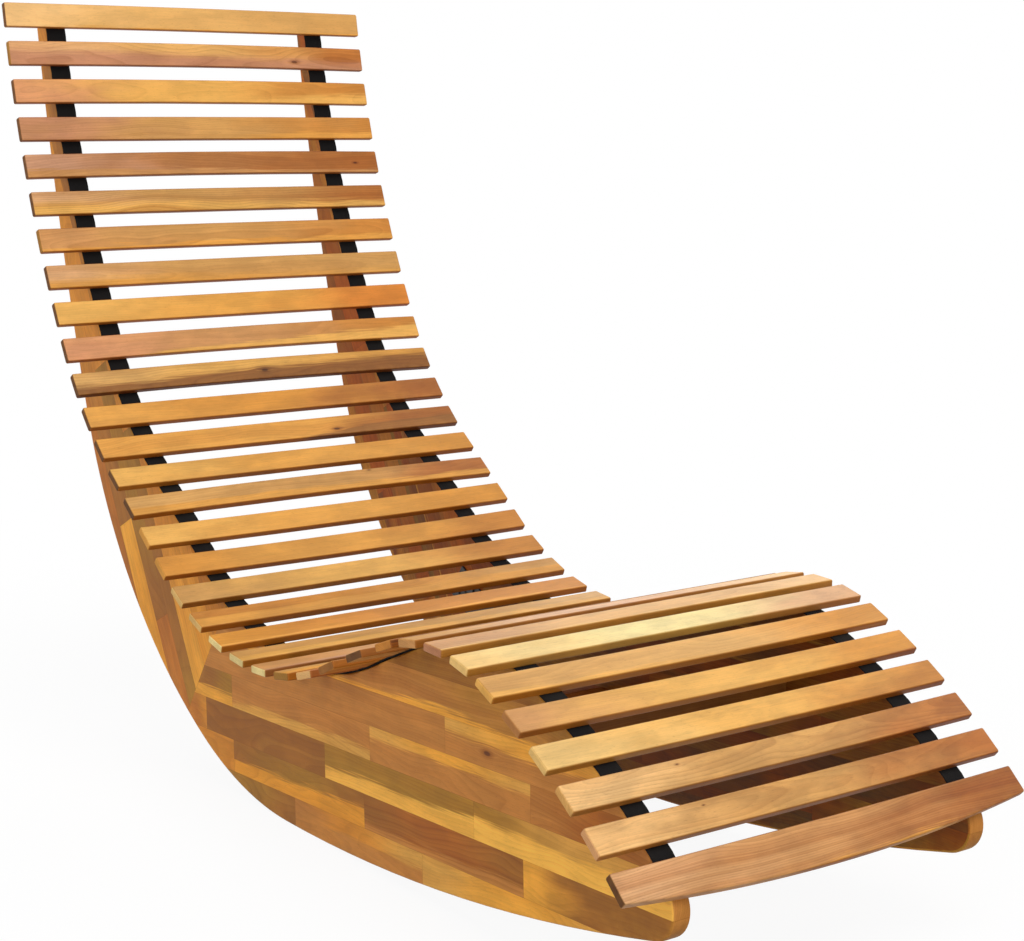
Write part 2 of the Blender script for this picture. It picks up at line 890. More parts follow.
def edge_turns(mesh: bpy.types.Mesh) -> np.ndarray:
    """Measures how much the surface turns at each vertex.

    Args:
        mesh: The mesh.

    Returns:
        For each vertex, 0 on a flat to 1 on a rounded edge.
    """
    rounded = math.radians(20.0)
    shape = bmesh.new()
    shape.from_mesh(mesh)
    turns = [max((edge.calc_face_angle(0.0) for edge in vertex.link_edges), default=0.0)
             for vertex in shape.verts]
    shape.free()
    return np.minimum(1.0, np.array(turns, np.float32) / rounded)


def skinned(rings: list[list[Vector]]) -> tuple[bmesh.types.BMesh, list[bmesh.types.BMFace]]:
    """Skins rings of points with quads and closes both ends.

    Args:
        rings: The rings, with their points in the same order.

    Returns:
        The shape, and the faces that close it.
    """
    shape = bmesh.new()
    corners = [[shape.verts.new(point) for point in ring] for ring in rings]
    for first, second in zip(corners, corners[1:]):
        for index in range(len(first)):
            follow = (index + 1) % len(first)
            shape.faces.new((first[index], first[follow], second[follow], second[index]))
    return shape, [shape.faces.new(corners[0]), shape.faces.new(corners[-1][::-1])]


def new_piece(name: str, shape: bmesh.types.BMesh, node: str) -> bpy.types.Object:
    """Makes a piece of the object from a finished shape.

    Args:
        name: The piece's name.
        shape: Its mesh, which is freed.
        node: The frame's node that it stands for.

    Returns:
        The piece, smooth across its rounded edges.
    """
    bmesh.ops.recalc_face_normals(shape, faces=shape.faces)
    mesh = bpy.data.meshes.new(name)
    shape.to_mesh(mesh)
    shape.free()
    mesh.shade_smooth()
    mesh.set_sharp_from_angle(angle=SHARP_FROM)
    piece = bpy.data.objects.new(name, mesh)
    bpy.context.scene.collection.objects.link(piece)
    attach(piece, BODY)
    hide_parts(node)
    piece.modifiers.new("even_shading", "WEIGHTED_NORMAL").keep_sharp = True
    return piece


@dataclass(frozen=True)
class Bar:
    """A rounded bar of wood across the lounge, in its own section axes.

    Attributes:
        centre: Middle of the bar.
        across: Unit direction of its width, towards the foot.
        up: Unit direction of its depth, upwards.
        width: Width in metres.
        depth: Depth in metres.
        half_length: Half its length in metres.
        rounding: Radius of its long edges.
        corner: Radius of its corners from above.
        bow: How far the middle bends towards the head, in metres.
        bulge: How far the foot edge swells in the middle, in metres.
        seed: Seed of the small waves in its edges.
        wave: Height of those waves in metres.
        wave_rate: How many there are in a metre, roughly.
        end_steps: Steps in which each end is rounded.
        end_ease: How much of its rounding a wide face has at the ends.
        edge_steps: Steps in which each long edge is rounded.
        spacing: Distance between its sections in metres.
    """

    centre: Vector
    across: Vector
    up: Vector
    width: float
    depth: float
    half_length: float
    rounding: float
    corner: float
    bow: float = 0.0
    bulge: float = 0.0
    seed: int = 0
    wave: float = 0.22 * MM
    wave_rate: float = 9.0
    end_steps: int = 8
    end_ease: float = 0.8
    edge_steps: int = 4
    spacing: float = 12 * MM

    def section(self, inset: float, rise: float) -> list[tuple[float, float]]:
        """Points of the rounded section, with extra ones on its wide faces.

        Args:
            inset: How far its narrow sides move in.
            rise: How far its wide sides do.

        Returns:
            Pairs of a place across and a height, in order round the section.
        """
        reach = self.width / 2 - inset - self.rounding
        level = self.depth / 2 - rise
        points = []
        for turn, (side, way) in enumerate(((1, 1), (-1, 1), (-1, -1), (1, -1))):
            for step in range(self.edge_steps + 1):
                angle = math.radians(90 * (turn + step / self.edge_steps))
                points.append((side * reach + self.rounding * math.cos(angle),
                               way * (level - self.rounding) + self.rounding * math.sin(angle)))
            if side == way:
                points += [(side * share * reach, way * level) for share in (0.5, 0.0, -0.5)]
        return points

    def stations(self) -> list[Triple]:
        """Places along the bar, with how far its width and its depth shrink there to round the end.

        Returns:
            A place, the inset of each long edge and the inset of each wide face, from end to end.
        """
        ends = []
        for step in range(self.end_steps + 1):
            angle = math.radians(90 * step / self.end_steps)
            back = self.corner * (1 - math.sin(angle))
            thin = max(0.0, 1 - back / self.rounding)
            ends.append((self.half_length - back, self.corner * (1 - math.cos(angle)),
                         self.rounding * (1 - math.sqrt(1 - thin ** 2)) * self.end_ease))
        count = int(self.half_length / self.spacing)
        reach = self.half_length - self.corner
        middle = [(reach * (2 * step / count - 1), 0.0, 0.0) for step in range(1, count)]
        return [(-place, *insets) for place, *insets in ends[::-1]] + middle + ends

    def shape(self) -> tuple[bmesh.types.BMesh, list[Vector]]:
        """Builds the bar's mesh and the grain coordinates of its vertices.

        Returns:
            The shape, and a vector along, across and through the bar for each vertex.
        """
        seed_step = 3.7
        rings, grain = [], []
        for place, inset, rise in self.stations():
            share = 1 - (place / self.half_length) ** 2
            ring = []
            for across, height in self.section(inset, rise):
                edge = Vector((place * self.wave_rate, self.seed * seed_step + (across > 0), 0.3))
                waves = self.wave * noise.noise(edge) * (abs(across) > self.width / 4)
                swell = self.bulge * share * (0.5 + across / self.width)
                offset = across + swell - self.bow * share + waves
                ring.append(self.centre + self.across * offset + self.up * height + Vector((0, place, 0)))
                grain.append(Vector((place, across + swell, -height)))
            rings.append(ring)
        return skinned(rings)[0], grain

    def build(self, stem: str, node: str, slot: str, look: Board, cut: Triple,
              wood: bpy.types.Material) -> bpy.types.Object:
        """Builds the bar over its node and dresses it as one board.

        Args:
            stem: What its name starts with, before the node's name.
            node: The frame's node that it stands for.
            slot: The record's material slot that it belongs to.
            look: How its wood looks.
            cut: How it was cut from the log.
            wood: Its material.

        Returns:
            The bar's piece.
        """
        shape, grain = self.shape()
        piece = new_piece(stem + node, shape, node)
        half = (self.half_length, self.width / 2, self.depth / 2)
        low = tuple(-value for value in half)
        timber = Timber(look, low, (half[0], half[1] + self.bulge, half[2]), cut)
        dress_boards(piece, [timber] * len(piece.data.polygons), grain, Vector((0, 1, 0)), wood)
        return piece


def section_axes(node: str) -> tuple[Vector, Vector, Vector]:
    """The middle of a slat's section and its axes, from the flat face at its left end.

    Args:
        node: The slat's node.

    Returns:
        The centre in the plane Y = 0, the unit direction of the width towards the foot, and the unit
        direction upwards.
    """
    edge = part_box(node)[1].y
    mesh = bpy.data.objects[node].data
    flat = np.array([vertex.co[:] for vertex in mesh.vertices if vertex.co.y > edge - 0.05 * MM])[:, (0, 2)]
    corners = np.unique(flat.round(5), axis=0)
    centre = (corners.max(0) + corners.min(0)) / 2
    spread = corners - centre
    across = np.linalg.eigh(spread.T @ spread)[1][:, 1]
    across = across if across[0] > 0 else -across
    width = Vector((across[0], 0, across[1]))
    return Vector((centre[0], 0, centre[1])), width, width.cross(Vector((0, 1, 0)))


@dataclass(frozen=True)
class SlatDeck:
    """The 36 slats, from the head end to the foot end.

    Attributes:
        wood: The material that every slat shares.
        half_length: Half a slat's length in metres.
        width: A slat's width.
        depth: A slat's depth.
        rounding: Radius of the long edges.
        corner: Radius of the corners from above.
        end_bulge: How far the last slat's foot edge swells.
        seed: Seed of how each slat was cut from its log.
    """

    wood: bpy.types.Material
    half_length: float = 300 * MM
    width: float = 35 * MM
    depth: float = 10 * MM
    rounding: float = 1.9 * MM
    corner: float = 2.2 * MM
    end_bulge: float = 16 * MM
    seed: int = 11

    def build(self) -> list[bpy.types.Object]:
        """Builds each slat over its node.

        Returns:
            The slats in order.
        """
        made = []
        draw = random.Random(self.seed)
        for number, (look, bow) in enumerate(SLATS, start=1):
            node = "slat_%02d" % number
            bulge = self.end_bulge if number == len(SLATS) else 0.0
            bar = Bar(*section_axes(node), self.width, self.depth, self.half_length, self.rounding,
                      self.corner, bow * MM, bulge, number)
            cut = drawn_cut(draw, 0.05, 0.01, 0.05)
            made.append(bar.build("oiled_", node, "slat_wood", look, cut, self.wood))
        return made


# Each slat's look, and how far its middle bows towards the head in millimetres
SLATS = [
    (Board(Tone.PEARL, Tone.WHEAT, Tone.TAN, Tone.GOLD, (1.1, 0.9), stripes=0.15, light=1.20), 1.0),
    (Board(Tone.PEACH, Tone.WHEAT, Tone.RUSSET, Tone.ROSE, (0.35, 0.6), 0.25, stripes=0.8,
           knot=Knot(0.79, 0.7), end=Tone.OLIVE, light=1.26), 2.2),
    (Board(Tone.BLUSH, Tone.HONEY, Tone.OCHRE, Tone.HONEY, (1.2, 0.6), 0.2, stripes=0.5, light=1.15), 2.0),
    (Board(Tone.ROSE, Tone.TAN, Tone.OCHRE, Tone.GOLD, (1.4, 0.6), 0.15, stripes=0.5, light=1.16), 0.8),
    (Board(Tone.DUSK, Tone.COPPER, Tone.CHESTNUT, Tone.SAND, (0.7, 0.9), stripes=0.55,
           knot=Knot(0.93, 0.55, 1.6 * MM), light=1.08), 2.2),
    (Board(Tone.PEACH, Tone.TAN, Tone.RUSSET, Tone.HONEY, (0.55, 0.75), 0.2, stripes=1.0), 0.6),
    (Board(Tone.SAND, Tone.TAN, Tone.OCHRE, Tone.GOLD, (0.9, 0.7), stripes=0.6, end=Tone.OLIVE,
           light=1.12), 1.0),
    (Board(Tone.PEACH, Tone.TAN, Tone.TAN, Tone.GOLD, (0.6, 0.9), 0.3, stripes=0.4, light=1.03), 0.7),
    (Board(Tone.HONEY, Tone.GOLD, Tone.FLAME, stripes=0.2), 0.5),
    (Board(Tone.BLUSH, Tone.SAND, Tone.OCHRE, Tone.HONEY, (1.15, 0.35), 0.08, stripes=0.4), 2.2),
    (Board(Tone.WHEAT, Tone.HONEY, Tone.GOLD, Tone.BROWN, (0.7, 0.3), 0.14, stripes=0.7,
           knot=Knot(0.51, 0.6, 2.6 * MM), light=0.86), 2.8),
    (Board(Tone.GOLD, Tone.AMBER, Tone.CHESTNUT, Tone.GOLD, (0.9, 1.1), stripes=0.25, light=0.95), 0.5),
    (Board(Tone.GOLD, Tone.GOLD, Tone.CHESTNUT, Tone.BROWN, (1.6, 0.4), stripes=0.5,
           knot=Knot(0.64, 0.7, 2.4 * MM), light=0.93), 0.6),
    (Board(Tone.HONEY, Tone.GOLD, Tone.AMBER, stripes=0.2, light=0.88), 0.3),
    (Board(Tone.WHEAT, Tone.TAN, Tone.RUSSET, Tone.GOLD, (0.6, 0.8), stripes=0.5,
           knot=Knot(0.66, 0.1, 1.2 * MM), light=0.90), 2.8),
    (Board(Tone.HONEY, Tone.GOLD, Tone.AMBER, stripes=0.2, end=Tone.GOLD, light=0.90), -1.5),
    (Board(Tone.AMBER, Tone.GOLD, Tone.OCHRE, stripes=0.25, end=Tone.GOLD, light=0.88), -2.4),
    (Board(Tone.TAN, Tone.HONEY, Tone.OCHRE, stripes=0.2, end=Tone.STRAW, light=0.85), -0.5),
    (Board(Tone.OCHRE, Tone.AMBER, Tone.TAN, Tone.GOLD, (0.45, 0.55), stripes=0.4, end=Tone.STRAW,
           light=0.85), -1.5),
    (Board(Tone.AMBER, Tone.OCHRE, Tone.OCHRE, Tone.GOLD, (0.9, 0.9), stripes=0.3, end=Tone.CREAM), 0.0),
    (Board(Tone.TAN, Tone.TAN, Tone.WHEAT, Tone.HONEY, (0.6, 0.6), stripes=0.3, end=Tone.CREAM,
           light=0.88), 0.0),
    (Board(Tone.SAND, Tone.PEACH, Tone.PEARL, Tone.DUSK, (0.8, 0.9), stripes=0.3, end=Tone.CREAM,
           light=0.92), 0.0),
    (Board(Tone.TAN, Tone.WHEAT, Tone.PEARL, Tone.GOLD, (0.5, 0.5), end=Tone.OLIVE), 0.4),
    (Board(Tone.GOLD, Tone.TAN, Tone.WHEAT, Tone.BLUSH, (0.6, 0.6), end=Tone.PEARL), -0.3),
    (Board(Tone.OCHRE, Tone.PEACH, Tone.DUSK, Tone.GOLD, (0.8, 0.8), end=Tone.BROWN), 0.2),
    (Board(Tone.WHEAT, Tone.PEACH, Tone.PEACH, Tone.SAND, (0.9, 0.9), end=Tone.UMBER), 0.0),
    (Board(Tone.OCHRE, Tone.TAN, Tone.TAN, Tone.BROWN, (1.0, 1.0), end=Tone.OCHRE), 0.4),
    (Board(Tone.TAN, Tone.PEACH, Tone.PEARL, Tone.GOLD, (1.1, 1.1), end=Tone.SAND), -0.4),
    (Board(Tone.SAND, Tone.WHEAT, Tone.PEARL, Tone.STRAW, (0.9, 0.9), end=Tone.ROSE), 0.0),
    (Board(Tone.STRAW, Tone.CREAM, Tone.PEACH, stripes=0.15, end=Tone.STRAW, light=0.94), 0.5),
    (Board(Tone.TAN, Tone.WHEAT, Tone.AMBER, Tone.HONEY, (0.8, 1.1), stripes=0.3, end=Tone.HONEY), -1.8),
    (Board(Tone.SAND, Tone.HONEY, Tone.AMBER, Tone.RUSSET, (1.6, 0.9), stripes=0.2, end=Tone.COPPER,
           light=0.96), -2.0),
    (Board(Tone.STRAW, Tone.HONEY, Tone.OCHRE, Tone.RUSSET, (1.6, 1.0), stripes=0.2, figure=0.7,
           end=Tone.STRAW, light=0.95), -1.2),
    (Board(Tone.PEARL, Tone.TAN, Tone.RUSSET, stripes=0.7, figure=0.8,
           knot=Knot(0.26, 0.2, 1.0 * MM), end=Tone.WHEAT, light=0.97), -1.8),
    (Board(Tone.PEARL, Tone.TAN, Tone.RUSSET, stripes=0.6, figure=0.8,
           knot=Knot(0.26, 0.2, 0.8 * MM), end=Tone.PEACH), -1.6),
    (Board(Tone.PEACH, Tone.SAND, Tone.CHESTNUT, Tone.GOLD, (1.2, 0.85), stripes=0.9, figure=0.6,
           end=Tone.UMBER), -1.8),
]


@dataclass(frozen=True)
class Row:
    """One row of boards in a rocker panel.

    Attributes:
        floor: Height of the row's lower edge in the panel's board axes, in millimetres.
        boards: Where each board starts along the row, in millimetres, with its look.
    """

    floor: float
    boards: tuple[tuple[float, Board], ...]


BEYOND = -2000.0

BASE_ROWS = (
    Row(-60.0, ((BEYOND, Board(Tone.OCHRE, Tone.OCHRE, Tone.GOLD)),)),
    Row(-4.5, ((BEYOND, Board(Tone.OLIVE, Tone.OLIVE, Tone.BROWN, stripes=0.7)),
               (-4.0, Board(Tone.COPPER, Tone.OCHRE, Tone.TAN, Tone.COPPER, (0.6, 0.4), stripes=0.5)),
               (285.0, Board(Tone.TAN, Tone.GOLD, Tone.TAN, stripes=0.4)))),
    Row(39.5, ((BEYOND, Board(Tone.AMBER, Tone.OCHRE, Tone.OCHRE)),
               (-160.0, Board(Tone.BROWN, Tone.OLIVE, Tone.BROWN, Tone.AMBER, (0.6, 0.5))),
               (161.0, Board(Tone.BROWN, Tone.CHESTNUT, Tone.BROWN, Tone.COPPER, (0.75, 0.8), stripes=0.9)),
               (483.0, Board(Tone.GOLD, Tone.BROWN, Tone.BROWN, figure=0.9)))),
    Row(83.5, ((BEYOND, Board(Tone.RUSSET, Tone.RUSSET, Tone.OCHRE)),
               (-233.0, Board(Tone.BROWN, Tone.BROWN, Tone.BROWN, stripes=0.7)),
               (72.0, Board(Tone.OLIVE, Tone.OLIVE, Tone.OLIVE, Tone.HONEY, (0.75, 0.4), 0.1)),
               (391.0, Board(Tone.OLIVE, Tone.TAN, Tone.TAN, Tone.HONEY, (0.42, 0.55), 0.1)))),
    Row(128.5, ((BEYOND, Board(Tone.BROWN, Tone.BROWN, Tone.OLIVE, Tone.GOLD, (0.6, 0.6))),
                (-160.0, Board(Tone.COPPER, Tone.COPPER, Tone.COPPER, Tone.TAN, (0.85, 0.6))),
                (177.0, Board(Tone.TAN, Tone.GOLD, Tone.TAN, Tone.COPPER, (0.3, 0.3))),
                (498.0, Board(Tone.COPPER, Tone.CHESTNUT, Tone.COPPER, stripes=0.6)))),
    Row(172.5, ((BEYOND, Board(Tone.COPPER, Tone.COPPER, Tone.COPPER, stripes=0.4)),
                (337.0, Board(Tone.TAN, Tone.GOLD, Tone.TAN, Tone.COPPER, (0.32, 0.4),
                              knot=Knot(0.2, 0.6, 3 * MM))))),
    Row(216.0, ((BEYOND, Board(Tone.COPPER, Tone.COPPER, Tone.OLIVE, Tone.GOLD, (0.9, 0.8))),)),
    Row(260.0, ((BEYOND, Board(Tone.OLIVE, Tone.BROWN, Tone.OLIVE, stripes=0.7)),)),
    Row(304.0, ((BEYOND, Board(Tone.OLIVE, Tone.BROWN, Tone.BROWN)),)),
)

ARM_ROWS = (
    Row(-280.0, ((BEYOND, Board(Tone.RUSSET, Tone.OCHRE, Tone.OCHRE)),)),
    Row(-199.0, ((BEYOND, Board(Tone.OCHRE, Tone.AMBER, Tone.OCHRE)),)),
    Row(-159.0, ((BEYOND, Board(Tone.CHESTNUT, Tone.RUSSET, Tone.RUSSET, Tone.AMBER, (0.6, 0.6))),
                 (-520.0, Board(Tone.RUSSET, Tone.CHESTNUT, Tone.OCHRE)))),
    Row(-119.0, ((BEYOND, Board(Tone.OCHRE, Tone.OCHRE, Tone.BROWN)),
                 (-184.0, Board(Tone.GOLD, Tone.AMBER, Tone.GOLD)))),
    Row(-79.0, ((BEYOND, Board(Tone.AMBER, Tone.OCHRE, Tone.OCHRE)),
                (-410.0, Board(Tone.OLIVE, Tone.OLIVE, Tone.BROWN)),
                (-30.0, Board(Tone.CHESTNUT, Tone.RUSSET, Tone.CHESTNUT)))),
    Row(-41.0, ((BEYOND, Board(Tone.OCHRE, Tone.BROWN, Tone.OCHRE)),
                (-300.0, Board(Tone.OLIVE, Tone.BROWN, Tone.OLIVE)))),
    Row(-12.5, ((BEYOND, Board(Tone.OCHRE, Tone.BROWN, Tone.OCHRE)),
                (-560.0, Board(Tone.AMBER, Tone.OCHRE, Tone.GOLD)))),
    Row(27.5, ((BEYOND, Board(Tone.OCHRE, Tone.OCHRE, Tone.AMBER)),)),
)


@dataclass(frozen=True)
class RockerPanel:
    """One laminated piece of a side rocker, laid up of rows of boards and cut to its outline.

    Attributes:
        node: The node that it stands for.
        rows: Its rows of boards, the lowest first.
        slope: Angle of the rows above +X, in degrees.
        origin: Where the board axes start in the side view.
        wood: Its material.
        seed: Seed of boards chosen by lot, or None for the boards that the rows name.
        inner_light: How light the inner face is, where the oil stays thicker and darker.
        row_height: Height of the topmost row in metres.
        rounding: Radius of the outer edges.
        seam_gap: Half the gap between the panel and its neighbour at the seam.
        steps: Steps in which an edge is rounded.
        cut_seed: Seed of how the named boards were cut from their logs.
    """

    node: str
    rows: tuple[Row, ...]
    slope: float
    origin: Vector
    wood: bpy.types.Material
    seed: int | None = None
    inner_light: float = 0.5
    row_height: float = 44 * MM
    rounding: float = 3 * MM
    seam_gap: float = 0.15 * MM
    steps: int = 4
    cut_seed: int = 5

    @property
    def along(self) -> Vector:
        """Direction of the rows."""
        return Vector((math.cos(math.radians(self.slope)), 0, math.sin(math.radians(self.slope))))

    @property
    def rise(self) -> Vector:
        """Direction across the rows, upwards."""
        return Vector((-self.along.z, 0, self.along.x))

    @property
    def faces(self) -> tuple[float, float]:
        """Y of the panel's outer and inner face."""
        low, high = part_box(self.node)
        return (low.y, high.y) if low.y < 0 else (high.y, low.y)

    def outline(self) -> list[Vector]:
        """Finds the loop round the panel's flat outer face.

        Returns:
            The loop's points in order, in the side view.
        """
        mesh = bpy.data.objects[self.node].data
        outer = self.faces[0]
        sides: Counter[tuple] = Counter()
        for face in mesh.polygons:
            points = [mesh.vertices[index].co for index in face.vertices]
            if all(abs(point.y - outer) < FLAT for point in points):
                keys = [(round(point.x, 6), round(point.z, 6)) for point in points]
                sides.update(tuple(sorted(side)) for side in zip(keys, keys[1:] + keys[:1]))
        follow: dict[tuple, list[tuple]] = {}
        for (first, second), times in sides.items():
            if times == 1 and first != second:
                follow.setdefault(first, []).append(second)
                follow.setdefault(second, []).append(first)
        loop = [min(follow)]
        came, at = loop[0], follow[loop[0]][0]
        while at != loop[0]:
            loop.append(at)
            came, at = at, next(point for point in follow[at] if point != came)
        return [Vector((x, 0, z)) for x, z in loop]

    def rings(self) -> list[list[Vector]]:
        """Rounds the panel's section.

        Returns:
            The outline at each step of the section, from the outer face to the inner one.
        """
        loop = self.outline()
        area = sum(point.x * after.z - after.x * point.z for point, after in zip(loop, loop[1:] + loop[:1]))
        loop = loop if area > 0 else loop[::-1]
        sides = [after - point for point, after in zip(loop, loop[1:] + loop[:1])]
        seam = max(range(len(sides)), key=lambda index: sides[index].length)
        normals = [Vector((side.z, 0, -side.x)).normalized() for side in sides]
        outer, inner = self.faces
        inward = 1 if inner > outer else -1
        made = []
        levels = [math.radians(90 * step / self.steps) for step in range(self.steps + 1)]
        for base, way, angles in ((outer, inward, levels), (inner, -inward, levels[::-1])):
            for angle in angles:
                reach = self.rounding * math.sin(angle)
                depth = base + way * self.rounding * (1 - math.cos(angle))
                offsets = [-self.seam_gap if index == seam else reach for index in range(len(sides))]
                made.append([self.mitred(point, normals[index - 1], normals[index],
                                         offsets[index - 1], offsets[index], depth)
                             for index, point in enumerate(loop)])
        return made

    @staticmethod
    def mitred(point: Vector, before: Vector, after: Vector, reach_before: float, reach_after: float,
               depth: float) -> Vector:
        """Moves a corner of the outline out, so that each side moves by its own reach.

        Args:
            point: The corner.
            before: Outward direction of the side before it.
            after: Outward direction of the side after it.
            reach_before: How far the side before it moves.
            reach_after: How far the side after it moves.
            depth: The corner's Y.

        Returns:
            The moved corner.
        """
        least_turn = 0.02
        cross = before.x * after.z - before.z * after.x
        if abs(cross) < least_turn:
            moved = point + (before + after).normalized() * (reach_before + reach_after) / 2
        else:
            x = (reach_before * after.z - reach_after * before.z) / cross
            z = (reach_after * before.x - reach_before * after.x) / cross
            moved = point + Vector((x, 0, z))
        return Vector((moved.x, depth, moved.z))

    def place(self, point: Vector) -> Vector:
        """A point's place along the rows, down across them and through the panel."""
        offset = point - self.origin
        return Vector((offset.dot(self.along), -offset.dot(self.rise), point.y))

    def saw(self, shape: bmesh.types.BMesh, faces: list[bmesh.types.BMFace], way: Vector,
              distance: float) -> None:
        """Splits faces along a straight joint.

        Args:
            shape: The panel's mesh.
            faces: The faces that the joint may cross.
            way: Direction across the joint.
            distance: How far the joint lies from the origin of the board axes, in millimetres.
        """
        corners = dict.fromkeys(vertex for face in faces for vertex in face.verts)
        sides = dict.fromkeys(side for face in faces for side in face.edges)
        bmesh.ops.bisect_plane(shape, geom=[*corners, *sides, *faces], dist=1e-6, plane_no=way,
                               plane_co=self.origin + way * distance * MM)

    def cut_rows(self, shape: bmesh.types.BMesh) -> None:
        """Splits the panel's faces along every joint between boards.

        Args:
            shape: The panel's mesh.
        """
        for row in self.rows[1:]:
            self.saw(shape, shape.faces[:], self.rise, row.floor)
        tops = [row.floor for row in self.rows[1:]] + [-BEYOND]
        for row, top in zip(self.rows, tops):
            for start, _ in row.boards[1:]:
                faces = [face for face in shape.faces
                         if row.floor * MM < -self.place(face.calc_center_median()).y < top * MM]
                self.saw(shape, faces, self.along, start)

    def timbers(self) -> list[tuple[float, list[tuple[float, Timber, Timber]]]]:
        """Lays the boards out.

        Returns:
            For each row its upper edge and its boards, each with its far end, and how it looks
            outside and inside.
        """
        draw = random.Random(self.seed or self.cut_seed)
        low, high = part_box(self.node)
        corners = [self.place(Vector((x, 0, z))).x for x in (low.x, high.x) for z in (low.z, high.z)]
        floors = [row.floor * MM for row in self.rows]
        floors.append(floors[-1] + self.row_height)
        made = []
        for row, floor, top in zip(self.rows, floors, floors[1:]):
            starts = [max(min(corners), start * MM) for start, _ in row.boards] + [max(corners)]
            boards = []
            for (_, look), start, stop in zip(row.boards, starts, starts[1:]):
                look = replace(look if self.seed is None else drawn_board(draw), end=Tone.COPPER)
                inner = replace(look, near=Tone.RUST, far=Tone.RUST, light=look.light * self.inner_light)
                extent = (start, -top, low.y), (stop, -floor, high.y), drawn_cut(draw, 0.08, 0.02, 0.09)
                boards.append((stop, Timber(look, *extent), Timber(inner, *extent)))
            made.append((top, boards))
        return made

    def build(self) -> bpy.types.Object:
        """Builds the panel and dresses each of its boards.

        Returns:
            The panel's piece.
        """
        shape, caps = skinned(self.rings())
        bmesh.ops.recalc_face_normals(shape, faces=shape.faces)
        bmesh.ops.triangulate(shape, faces=caps)
        self.cut_rows(shape)
        piece = new_piece("laminated_" + self.node, shape, self.node)
        rows = self.timbers()
        inner = self.faces[1]
        dressed = []
        for face in piece.data.polygons:
            along, down, depth = self.place(face.center)
            row = next((boards for top, boards in rows if -down < top), rows[-1][1])
            _, outside, inside = next((board for board in row if along < board[0]), row[-1])
            dressed.append(inside if abs(depth - inner) < 10 * FLAT else outside)
        grain = [self.place(vertex.co) for vertex in piece.data.vertices]
        dress_boards(piece, dressed, grain, self.along, self.wood)
        return piece


@dataclass(frozen=True)
class Strap:
    """One webbing strap, laid under the slats along a rocker's edge.

    Attributes:
        node: The node that it stands for.
        webbing: Its material.
        thickness: Its thickness in metres.
        arch: How far it rises between two slats.
        wide_gap: Gap between two slats over which it rises so far.
        overrun: How far it runs on past the middles of the first and the last slat.
        edge_points: Steps in which its thin edges are rounded.
    """

    node: str
    webbing: bpy.types.Material
    thickness: float = 2 * MM
    arch: float = 0.9 * MM
    wide_gap: float = 20 * MM
    overrun: float = 12 * MM
    edge_points: int = 3

    def route(self) -> list[tuple[Vector, Vector]]:
        """Lays the strap's course under the slats.

        Returns:
            Points of its upper face with their upward directions, from the head to the foot.
        """
        slats = []
        for number in range(1, len(SLATS) + 1):
            centre, across, up = section_axes("slat_%02d" % number)
            slats.append((centre - up * SlatDeck.depth / 2, across, up))
        under, across, up = slats[0]
        points = [(under - across * self.overrun, up)]
        reach = SlatDeck.width / 2
        for (under, across, up), (after, across_after, up_after) in zip(slats, slats[1:]):
            leaving, arriving = under + across * reach, after - across_after * reach
            between = (up + up_after).normalized()
            arch = self.arch * min(1.0, (arriving - leaving).length / self.wide_gap)
            points += [(under, up), (leaving, (up * 3 + up_after).normalized()),
                       ((leaving + arriving) / 2 + between * arch, between),
                       (arriving, (up + up_after * 3).normalized())]
        under, across, up = slats[-1]
        return points + [(under, up), (under + across * self.overrun, up)]

    def section(self) -> list[tuple[float, float]]:
        """Shapes the strap's thin section.

        Returns:
            Pairs of a place across and a height, in order round the section.
        """
        low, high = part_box(self.node)
        half, round_end = (high.y - low.y) / 2, self.thickness / 2
        points = []
        for side in (1, -1):
            for step in range(self.edge_points + 1):
                angle = math.radians(90 - 180 * step / self.edge_points)
                points.append((side * (half - round_end + round_end * math.cos(angle)),
                               side * round_end * math.sin(angle) - round_end))
            points += [(-side * share * half, -round_end - side * round_end) for share in (-0.5, 0.0, 0.5)]
        return points

    def build(self) -> bpy.types.Object:
        """Builds the strap and its weave coordinates.

        Returns:
            The strap's piece.
        """
        low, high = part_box(self.node)
        middle = (low.y + high.y) / 2
        rings, band, run = [], [], 0.0
        route, section = self.route(), self.section()
        for (before, _), (point, up) in zip(route[:1] + route, route):
            run += (point - before).length
            rings.append([point + Vector((0, middle + across, 0)) + up * height
                          for across, height in section])
            band += [(run, across, height) for across, height in section]
        piece = new_piece("woven_" + self.node, skinned(rings)[0], self.node)
        set_vectors(piece.data, "band", "POINT", band)
        piece.data.materials.append(self.webbing)
        return piece


@dataclass(frozen=True)
class CrossRails:
    """The three rails between the rockers.

    Attributes:
        wood: The material that they share.
        names: Where they lie.
        rounding: Radius of the long edges in metres.
        corner: Radius of the ends' corners.
        seed: Seed of how each rail looks and was cut from its log.
        wave_seed: Seed of the small waves in the first rail's edges.
    """

    wood: bpy.types.Material
    names: tuple[str, ...] = ("head", "seat", "foot")
    rounding: float = 2 * MM
    corner: float = 0.4 * MM
    seed: int = 23
    wave_seed: int = 60

    def build(self) -> list[bpy.types.Object]:
        """Builds each rail over its node.

        Returns:
            The rails.
        """
        made = []
        draw = random.Random(self.seed)
        for number, name in enumerate(self.names):
            node = "cross_rail_" + name
            low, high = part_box(node)
            middle, size = (low + high) / 2, high - low
            bar = Bar(Vector((middle.x, 0, middle.z)), Vector((0, 0, -1)), Vector((1, 0, 0)), size.z, size.x,
                      size.y / 2, self.rounding, self.corner, seed=self.wave_seed + number)
            cut = drawn_cut(draw, 0.05, 0.02, 0.06)
            made.append(bar.build("planed_", node, "rail_wood", drawn_board(draw), cut, self.wood))
        return made


